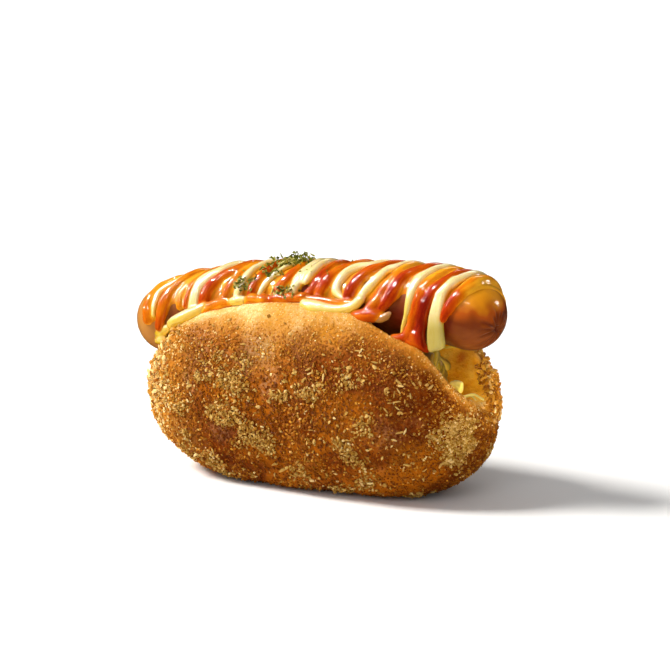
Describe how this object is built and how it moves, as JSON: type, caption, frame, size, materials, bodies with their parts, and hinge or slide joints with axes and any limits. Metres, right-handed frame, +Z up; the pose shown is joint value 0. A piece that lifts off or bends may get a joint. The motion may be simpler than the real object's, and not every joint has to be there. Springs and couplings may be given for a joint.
{
  "type": "sausage salad bun",
  "caption": "Crumbed fried long roll, slit lengthways, filled with cabbage salad and topped with a whole frankfurter striped with mayonnaise and ketchup.",
  "frame": {"origin": "on the table under the middle of the overall box", "axes": "+X along the roll towards the raised end of the sausage, +Z up, -Y is the front"},
  "size_m": [0.1605, 0.0691, 0.091],
  "materials": {
    "crumbed_bread": "matte",
    "cabbage_salad": "satin",
    "sausage_skin": "satin",
    "mayonnaise": "gloss",
    "ketchup": "gloss"
  },
  "bodies": {
    "root": {"bun": "crumbed_bread", "salad_filling": "cabbage_salad", "sausage": "sausage_skin", "mayo_zigzag": "mayonnaise", "mayo_end_line": "mayonnaise", "ketchup_line_1": "ketchup", "ketchup_line_2": "ketchup", "ketchup_line_3": "ketchup", "ketchup_line_4": "ketchup", "ketchup_line_5": "ketchup", "ketchup_line_6": "ketchup", "ketchup_line_7": "ketchup"}
  },
  "joints": []
}
